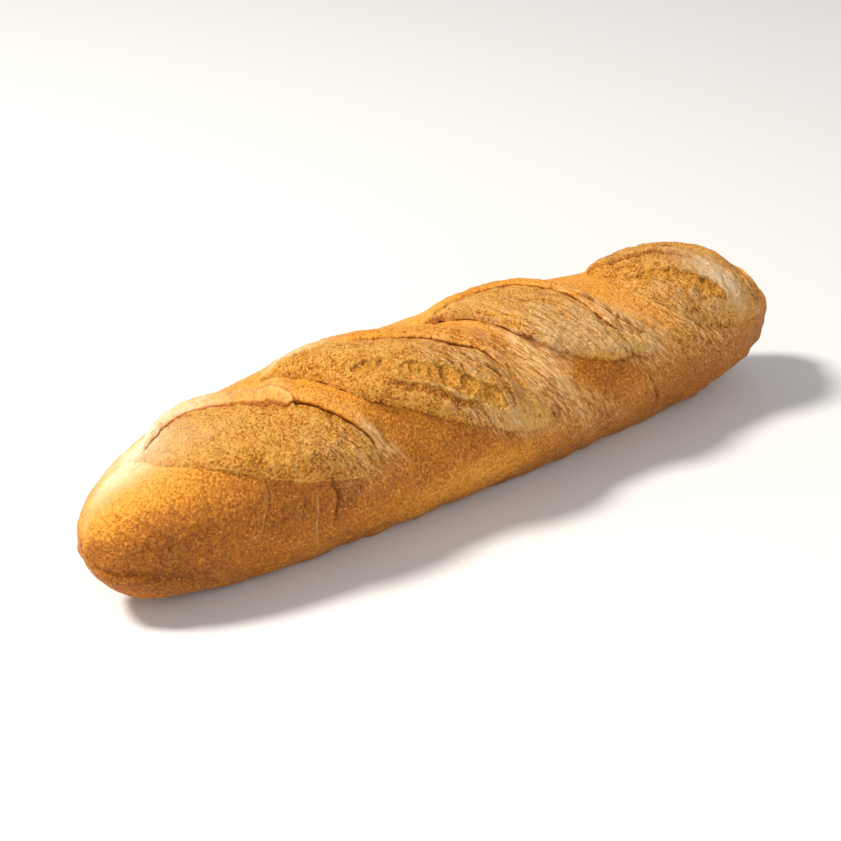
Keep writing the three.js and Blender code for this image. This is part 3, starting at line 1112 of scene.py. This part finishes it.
# Rims: the torn slope from the crease up to the edge of the crust, and the crust's edge itself. Over the
# rows of the mesh the foot lies under the dough, then comes the slope, and the rest lies over the crust.
rim = {
    "stepAlong": 0.4,
    "rows": 44,
    "footRows": 0.12,
    "slopeRows": 0.4,
    "shares": (0.015, 0.985),  # the mesh's first and last stations
    "wobble": (0.55, 7),
    "ragged": (0.3, 2.4),
    "wobbleSeed": 40,
    "noiseLine": 3.7,
    "under": 1.4,  # how far the foot reaches under the dough
    "footSink": 0.4,
    "footDrop": 1.6,
    "over": 0.6,  # how far a narrow rim stands over the crease
    "overBulge": 0.7,
    "narrowWall": (1.8, 0.5),
    "cover": 8,  # how far the rim's strip lies over the crust
    "coverCrowding": 1.3,
    "slopePower": 1.6,
    "narrowPower": 1.4,
    "startSink": 0.9,
    "startShares": (0.09, 0.02),
    "lift": 0.12,
    "shutSink": 0.7,
    "liftRows": (0.55, 1),
    "borderSink": 0.5,
    "borderRows": (0.86, 1),
    "tornRows": (0.05, 0.3),
    "tornGrain": (0.3, 1.6, 70, 3),
    "tornWaves": (0.35, 5, 73),
    "flourCover": 0.75,
    "flourClouds": (0.3, 2, 75, 3),
    "flouryWall": (0.8, 2.5),
    "tornFlour": 0.75,
    "edgeFlour": 0.4,
    "edgeFrom": 0.9,
    "shadedRows": (0.38, 0.05),
    "shadedBrown": 1.6,
    "edgeBrown": 0.25,
    "edgeAt": 0.95,
    "edgeWide": 0.15,
    "inside": -20,  # how deep the point lies that its border is drawn to
}


def makeRim(k):
    slash = slashes[k]
    stations = int(lineOf(slash)[0] / rim["stepAlong"])
    bpy.ops.object.select_all(action="DESELECT")
    bpy.ops.mesh.primitive_grid_add(x_subdivisions=stations, y_subdivisions=rim["rows"], size=2)
    piece = bpy.context.object
    grid = corners(piece)
    first, last = rim["shares"]
    share = first + (last - first) * (grid[:, 0] + 1) / 2
    row = (grid[:, 1] + 1) / 2
    fade = fadeAtEnds(share)
    wall = curve(slash["wall"], share) * fade
    gone = share * lineOf(slash)[0]
    line = flat(gone, np.full_like(gone, rim["noiseLine"]))
    wobble = bumps(line, *rim["wobble"], rim["wobbleSeed"] + k)
    wobble = wobble + bumps(line, *rim["ragged"], rim["wobbleSeed"] + k + 1)
    upper = curve(slash["upper"], share) + wobble * fade
    opened = openness(slash, share)
    foot = doughLevel(k, share, upper) - rim["footSink"] * fade * opened
    top = lipHeight(slash, share, 0 * share)
    below = np.clip(1 - row / rim["footRows"], 0, 1)
    climb = np.clip((row - rim["footRows"]) / rim["slopeRows"], 0, 1)
    crustFrom = rim["footRows"] + rim["slopeRows"]
    onto = np.clip((row - crustFrom) / (1 - crustFrom), 0, 1)
    narrow = smoothStep(*rim["narrowWall"], wall)
    bulge = rim["over"] * narrow * fade * opened * np.sin(math.pi * climb ** rim["overBulge"])
    past = wall * climb - bulge - rim["under"] * below + rim["cover"] * onto ** rim["coverCrowding"]
    rise = foot + (top - foot) * (1 - (1 - climb) ** (rim["slopePower"] + rim["narrowPower"] * narrow))
    rise = rise - rim["footDrop"] * fade * below - rim["startSink"] * smoothStep(*rim["startShares"], share)
    x, turn = onCrust(slash, share, upper + past)
    common, marks = surface(x, turn)
    around, brown = aroundSlashes(x, turn)
    rise = np.where(onto > 0, around, rise) + common
    lift = rim["lift"] * fade - rim["shutSink"] * (1 - opened)
    rise = rise + lift * (1 - smoothStep(*rim["liftRows"], onto))
    rise = rise - rim["borderSink"] * smoothStep(*rim["borderRows"], onto)
    base = bodyPoint(x, turn)
    torn = (1 - onto) * smoothStep(*rim["tornRows"], climb)
    high, size, seed, layers = rim["tornGrain"]
    roughness = bumps(base, high, size, seed + k, layers)
    high, size, seed = rim["tornWaves"]
    rise = rise + torn * (roughness + bumps(base, high, size, seed + k))
    pale = 0 * share
    # On the first rim, near the loaf's end, this flour is partly a painted highlight.
    if slash["floury"]:
        fades, full, least = slash["floury"]
        pale = smoothStep(fades, full, share) + least
    pale = pale * (rim["flourCover"] + bumps(base, *rim["flourClouds"]))
    wide = smoothStep(*rim["flouryWall"], wall)
    flourAndHighlight = rim["tornFlour"] * wide * torn + rim["edgeFlour"] * (1 - onto) * (climb > rim["edgeFrom"])
    marks["flourAndHighlight"] = marks["flourAndHighlight"] + pale * flourAndHighlight
    shaded = smoothStep(*rim["shadedRows"], climb) * opened
    for name in ("flourAndHighlight", "pale"):
        marks[name] = marks[name] * (1 - shaded)
    edge = rim["edgeBrown"] * bell(climb, rim["edgeAt"], rim["edgeWide"]) * (1 - pale)
    marks["bakeAndShade"] = marks["bakeAndShade"] + brown + sideBrowningAndShade(turn) + rim["shadedBrown"] * shaded + edge
    setMesh(piece, crustPoint(x, turn, rise), marks, x, turn)
    closeInside(piece, insidePoint(slash, curve(slash["upper"], np.array([0.5])), rim["inside"]))
    finishPiece(piece, "rim%d" % (k + 1), crustFinish)


for number in range(len(slashes)):
    makeRim(number)

# Tears through the opened dough, by the number of their slash from 0: top and bottom lines in [share,
# beside], deep and fringe in millimetres, slope is how much of the depth is lost towards the lower line,
# and pits are [share, beside, radius]. Where sunk is 1 the dough sinks just below the lower fringe and
# is painted browner there, a painted shade of the overhanging fringe.
tears = {
    1: {
        "top": [
            (0.272, -2.6), (0.288, -0.2), (0.31, 1.8), (0.342, 3.3), (0.375, 4.2), (0.396, 3.1),
            (0.414, 2.2), (0.433, 3.1), (0.457, 3.8), (0.503, 4), (0.556, 4.8), (0.588, 4.6),
            (0.615, 3.8), (0.636, 3.2), (0.666, 3), (0.693, 3.1), (0.717, 2), (0.738, 0), (0.75, -2.1),
        ],
        "bottom": [
            (0.272, -2.6), (0.294, -3.8), (0.318, -3.7), (0.34, -3.4), (0.364, -2.2), (0.385, -2.8),
            (0.404, -3.2), (0.43, -3.2), (0.455, -2.9), (0.481, -2.8), (0.516, -2.8), (0.551, -3),
            (0.578, -3.6), (0.597, -4), (0.634, -3.1), (0.652, -3.7), (0.674, -4.1), (0.706, -4.3),
            (0.735, -3.6), (0.75, -2.1),
        ],
        "deep": 1.1,
        "slope": 0.25,
        "fringe": 1,
        "sunk": 1,
        "pits": [
            (0.3, -1.6, 1.6), (0.323, 0.5, 1.5), (0.345, -1.2, 1.5), (0.366, 1.4, 1.6),
            (0.39, -0.4, 1.3), (0.42, 0.6, 1.2), (0.447, 1, 1.4), (0.474, 0.6, 1.3), (0.502, 1, 1.5),
            (0.55, 1, 3.1), (0.614, 0.6, 3.1), (0.69, -0.2, 3.6),
        ],
    },
    2: {
        "top": [(0.385, 3.4), (0.408, 6.4), (0.452, 7.4), (0.514, 8.2), (0.565, 7.7), (0.59, 6.5)],
        "bottom": [(0.385, 3.4), (0.43, 4.8), (0.48, 5.8), (0.53, 6.4), (0.565, 6.4), (0.59, 6.5)],
        "deep": 0.9,
        "slope": 0.6,
        "fringe": 0.7,
        "sunk": 0,
        "pits": [(0.42, 5.6, 0.9), (0.5, 7, 0.9)],
    },
    3: {
        "top": [
            (0.15, -7.2), (0.209, -6.2), (0.238, -5.2), (0.266, -3.8), (0.303, -3), (0.339, -1.9),
            (0.372, -1.3), (0.408, -1.1), (0.461, -0.7), (0.514, 0), (0.559, 0.1), (0.596, 0),
            (0.628, -0.9), (0.669, -2.9), (0.685, -5),
        ],
        "bottom": [
            (0.15, -7.2), (0.24, -8.4), (0.3, -7.4), (0.36, -6.2), (0.42, -6), (0.474, -6), (0.522, -6.6),
            (0.583, -6.5), (0.636, -6), (0.685, -5),
        ],
        "deep": 1.3,
        "slope": 0.9,
        "fringe": 0.4,
        "sunk": 0,
        "pits": [
            (0.245, -6.3, 1.4), (0.3, -4.6, 1.3), (0.36, -2.9, 1.3), (0.41, -2.4, 1.5), (0.465, -2.2, 1.7),
            (0.53, -2, 1.4), (0.61, -2.2, 1.6),
        ],
    },
}

# What all tears share. Bumps are [height, size, seed] and other lengths millimetres; a pair says where
# something begins and where it is full.
tearing = {
    "waves": (0.7, 2.2, 81),
    "rags": (0.45, 0.9, 85),
    "ends": 0.5,
    "wall": (-0.1, 0.7),
    "narrowest": 0.5,
    "climb": (0.1, 1),
    "floor": 0.75,
    "floorBumps": (0.25, 1.6, 88),
    "pitDepth": 0.21,
    "betweenPits": (0.25, 0),
    "webHeight": 0.7,
    "webBase": 0.5,
    "webBumps": (0.6, 1.1, 89),
    "fringeAt": -0.1,
    "fringeWide": 0.5,
    "fringeLeast": 0.4,
    "fringeBroken": (-0.35, 0.25),
    "fringeBumps": (1, 1.5, 93),
    "fringeGap": 0.25,
    "fringeFull": 0.85,
    "fringeHeight": 0.45,
    "fringeBase": 0.7,
    "fringeRags": (0.5, 1.2, 92),
    "pitCrumb": 0.1,
    "pitEdge": (0.1, 0.8),
    "fringeCrumb": 1.1,
    "webCrumb": 0.35,
    "brown": 0.5,
    "edgeBrown": 1.1,
    "edge": (1.2, 0.4),
    "fringeClears": 0.8,
    "sunkStart": (0.14, 0.3),
    "sunkEnd": (0.92, 0.7),
    "sunkTop": (0.5, 1),
    "sunkFoot": (4.4, 2.2),
    "sunkDepth": 0.8,
    "sunkShade": 1.1,
}


def addTear(k, share, beside, x, turn, rise, marks):
    if k not in tears:
        return rise
    tear = tears[k]
    first, last = tear["top"][0][0], tear["top"][-1][0]
    s = np.clip(share, first, last)
    top = curve(tear["top"], s)
    bottom = curve(tear["bottom"], s)
    base = bodyPoint(x, turn)
    high, size, seed = tearing["waves"]
    ragged = bumps(base, high, size, seed + k)
    high, size, seed = tearing["rags"]
    ragged = ragged + bumps(base, high, size, seed + k)
    inside = np.minimum(top - beside, beside - bottom) + ragged
    fromEnds = np.minimum(share - first, last - share) * lineOf(slashes[k])[0] + tearing["ends"]
    inside = np.minimum(inside, fromEnds)
    wall = smoothStep(*tearing["wall"], inside)
    # The floor of the tear climbs towards its lower edge.
    down = (top - beside) / np.maximum(top - bottom, tearing["narrowest"])
    climb = 1 - tear["slope"] * smoothStep(*tearing["climb"], down)
    depth = tear["deep"] * wall * climb * (tearing["floor"] + bumps(base, *tearing["floorBumps"]))
    pit = np.zeros_like(x)
    for middle, off, radius in tear["pits"]:
        px, pt = onCrust(slashes[k], middle, off)
        away = np.hypot(x - px, (turn - pt) * turnLength) / radius
        pit = np.maximum(pit, np.clip(1 - away**2, 0, 1) * radius)
    # Thin webs of crumb stand between the pits.
    web = wall * smoothStep(*tearing["betweenPits"], pit) * climb
    webHeight = tearing["webHeight"] * (tearing["webBase"] + bumps(base, *tearing["webBumps"]))
    rise = rise - depth - tearing["pitDepth"] * pit * wall + webHeight * web
    fringe = tear["fringe"] * bell(inside, tearing["fringeAt"], tearing["fringeWide"])
    fringe = fringe * (tearing["fringeLeast"] + (1 - tearing["fringeLeast"]) * climb)
    broken = smoothStep(*tearing["fringeBroken"], bumps(base, *tearing["fringeBumps"]))
    fringe = fringe * (tearing["fringeGap"] + tearing["fringeFull"] * broken)
    rags = tearing["fringeBase"] + bumps(base, *tearing["fringeRags"])
    rise = rise + tearing["fringeHeight"] * fringe * rags
    pitCrumb = tearing["pitCrumb"] * wall * smoothStep(*tearing["pitEdge"], pit)
    marks["crumb"] = marks["crumb"] + pitCrumb + tearing["fringeCrumb"] * fringe + tearing["webCrumb"] * web
    for name in ("flourAndHighlight", "pale", "streak"):
        marks[name] = marks[name] * (1 - wall)
    for name in ("pale", "streak"):
        marks[name] = marks[name] * (1 - tearing["fringeClears"] * np.clip(fringe, 0, 1))
    # Inside the tear it is browner, partly its own colour and partly painted shade, most near its edges
    # where the dough above overhangs.
    browningAndShade = tearing["brown"] + tearing["edgeBrown"] * smoothStep(*tearing["edge"], inside)
    marks["bakeAndShade"] = marks["bakeAndShade"] + wall * climb * browningAndShade
    below = bottom - beside
    gone = (s - first) / (last - first)
    # Painted shade just below the lower fringe, where it overhangs.
    span = tear["sunk"] * smoothStep(*tearing["sunkStart"], gone) * smoothStep(*tearing["sunkEnd"], gone)
    shade = span * smoothStep(*tearing["sunkTop"], below) * smoothStep(*tearing["sunkFoot"], below)
    marks["bakeAndShade"] = marks["bakeAndShade"] + tearing["sunkShade"] * shade
    for name in ("pale", "streak"):
        marks[name] = marks[name] * (1 - shade)
    return rise - tearing["sunkDepth"] * shade


def makeDough(k):
    slash = slashes[k]
    stations = int(lineOf(slash)[0] / dough["stepAlong"])
    bpy.ops.object.select_all(action="DESELECT")
    bpy.ops.mesh.primitive_grid_add(
        x_subdivisions=stations, y_subdivisions=dough["rows"] + dough["edgeRows"], size=2
    )
    piece = bpy.context.object
    grid = corners(piece)
    first, last = dough["shares"]
    share = first + (last - first) * (grid[:, 0] + 1) / 2
    down = (1 - grid[:, 1]) / 2 * (dough["rows"] + dough["edgeRows"]) / dough["rows"]
    fade = fadeAtEnds(share)
    rimLine = curve(slash["upper"], share)
    lower = curve(slash["lower"], share)
    high, size, seed = dough["edgeWobble"]
    lower = lower + bumps(flat(share * lineOf(slash)[0], 0 * share), high, size, seed + k) * fade
    wellOpen = smoothStep(*dough["ledgeShares"], share)
    ledge = slash["ledge"] * fade * wellOpen
    lower = lower + dough["ledgeOut"] * ledge
    upper = rimLine + dough["underLip"] * fade
    beside = upper + np.clip(down, 0, 1) * (lower - upper)
    rise = doughLevel(k, share, beside)
    opened = openness(slash, share)
    sink = (dough["creaseSink"] * opened - dough["shutRise"]) * fade
    rise = rise - sink * smoothStep(*dough["creaseEdge"], beside - rimLine)
    # The last rows roll over the lower edge and back under it.
    over = np.clip(down - 1, 0, 1) * dough["rows"] / dough["edgeRows"]
    angle = over * math.pi
    thick = ledge / 2 + dough["thick"] + dough["thickMore"] * wellOpen
    tucked = smoothStep(*dough["tuckRows"], over)
    out = dough["ledgeOut"] * ledge * np.sin(angle) - dough["tuckIn"] * tucked
    beside = np.where(over > 0, lower - out, beside)
    rise = np.where(over > 0, rise - thick * (1 - np.cos(angle)) - dough["tuckDown"] * tucked, rise)
    x, turn = onCrust(slash, share, beside)
    common, marks = surface(x, turn)
    base = bodyPoint(x, turn)
    size, seed, layers = dough["flakes"]
    flakes = grain(base, size, seed + k, layers)
    wide, long, seed = dough["fibres"]
    threads = fibres(x, turn, wide, long, seed + k)
    body = 1 - smoothStep(*dough["bodyRows"], over)
    quiet = 1 if slash["ledge"] == 0 else smoothStep(*dough["quietShares"], share)
    body = body * (1 - quiet * smoothStep(*dough["quietEdge"], beside - lower))
    rise = rise + common + body * (dough["flakeHeight"] * flakes + dough["fibreHeight"] * threads)
    # Painted shade in the crease under the rim: browner, with less flour and paleness.
    crease = bell(beside - rimLine, dough["creaseAt"], dough["creaseWide"]) * opened
    # Along the lower edge the dough is lighter and golden with crumb colour: a painted highlight on its
    # edge.
    edge = bell(beside - lower, dough["rimAt"], dough["rimWide"]) * (over <= 0) * (slash["ledge"] > 0)
    edge = edge * fade * smoothStep(*dough["rimShares"], share)
    browningAndShade = dough["sideShare"] * sideBrowningAndShade(turn) - dough["paler"] - dough["flakeBrown"] * body * flakes
    # The edge that rolls under is browner: painted shade on its underside.
    browningAndShade = browningAndShade + dough["edgeBrown"] * smoothStep(*dough["edgeBrownRows"], over)
    browningAndShade = browningAndShade + dough["lowBrown"] * smoothStep(*dough["lowEdge"], beside - lower)
    marks["bakeAndShade"] = marks["bakeAndShade"] + browningAndShade + crease - dough["rimLight"] * edge
    marks["crumb"] = marks["crumb"] + dough["rimCrumb"] * edge
    for name in ("flourAndHighlight", "pale"):
        marks[name] = marks[name] * (1 - dough["creasePale"] * crease)
    rise = addTear(k, share, beside, x, turn, rise, marks)
    setMesh(piece, crustPoint(x, turn, rise), marks, x, turn)
    closeInside(piece, insidePoint(slash, 0, dough["inside"]))
    finishPiece(piece, "openedDough%d" % (k + 1), doughFinish)


for number in range(len(slashes)):
    makeDough(number)
print("bread done")

# Floor, light and camera. The camera looks along its azimuth and elevation in degrees, from its distance
# in metres.
studio = {
    "floorSize": 6,
    "floorColour": "#dddddd",
    "floorRoughness": 0.9,
    "floorSpecular": 0.1,
    "azimuth": -40.49,
    "elevation": 28,
    "distance": 0.7,
    "lens": 86.13,
    "aim": (-0.0048, 0.0108, 0.0178),
    "sensor": 36,
    "world": 0.42,
}
lampAim = (0, 0, 0.03)
lamps = {
    "keyLight": {"place": (-0.8, 0.45, 1.24), "size": 0.36, "power": 30.5, "colour": "#fff8ee"},
    "fillLight": {"place": (-0.5, -1.2, 0.8), "size": 1.0, "power": 8, "colour": "#ffffff"},
}

bpy.ops.object.select_all(action="DESELECT")
bpy.ops.mesh.primitive_plane_add(size=studio["floorSize"], location=(0, 0, 0))
floor = bpy.context.object
floor.name = "floor"
floorPaint = bpy.data.materials.new("paleFloorPaint")
floorPaint.use_nodes = True
floorShader = floorPaint.node_tree.nodes["Principled BSDF"]
floorShader.inputs["Base Color"].default_value = linear(studio["floorColour"])
floorShader.inputs["Roughness"].default_value = studio["floorRoughness"]
floorShader.inputs["Specular IOR Level"].default_value = studio["floorSpecular"]
floor.data.materials.append(floorPaint)

world = bpy.data.worlds.new("studio")
bpy.context.scene.world = world
world.use_nodes = True
world.node_tree.nodes["Background"].inputs["Color"].default_value = linear("#ffffff")
world.node_tree.nodes["Background"].inputs["Strength"].default_value = studio["world"]

for name, settings in lamps.items():
    lamp = bpy.data.lights.new(name, "AREA")
    lamp.shape = "DISK"
    lamp.size = settings["size"]
    lamp.energy = settings["power"]
    lamp.color = linear(settings["colour"])[:3]
    holder = bpy.data.objects.new(name, lamp)
    bpy.context.scene.collection.objects.link(holder)
    holder.location = settings["place"]
    holder.rotation_mode = "QUATERNION"
    holder.rotation_quaternion = (Vector(settings["place"]) - Vector(lampAim)).to_track_quat("Z", "Y")

camera = bpy.data.objects.new("camera", bpy.data.cameras.new("camera"))
bpy.context.scene.collection.objects.link(camera)
azimuth = math.radians(studio["azimuth"])
elevation = math.radians(studio["elevation"])
level = math.cos(elevation)
back = Vector((math.sin(azimuth) * level, -math.cos(azimuth) * level, math.sin(elevation)))
camera.location = back * studio["distance"] + Vector((0, -loaf["middle"] * millimetre, 0))
camera.rotation_mode = "QUATERNION"
camera.rotation_quaternion = (camera.location - Vector(studio["aim"])).to_track_quat("Z", "Y")
camera.data.lens = studio["lens"]
camera.data.sensor_width = studio["sensor"]
bpy.context.scene.camera = camera
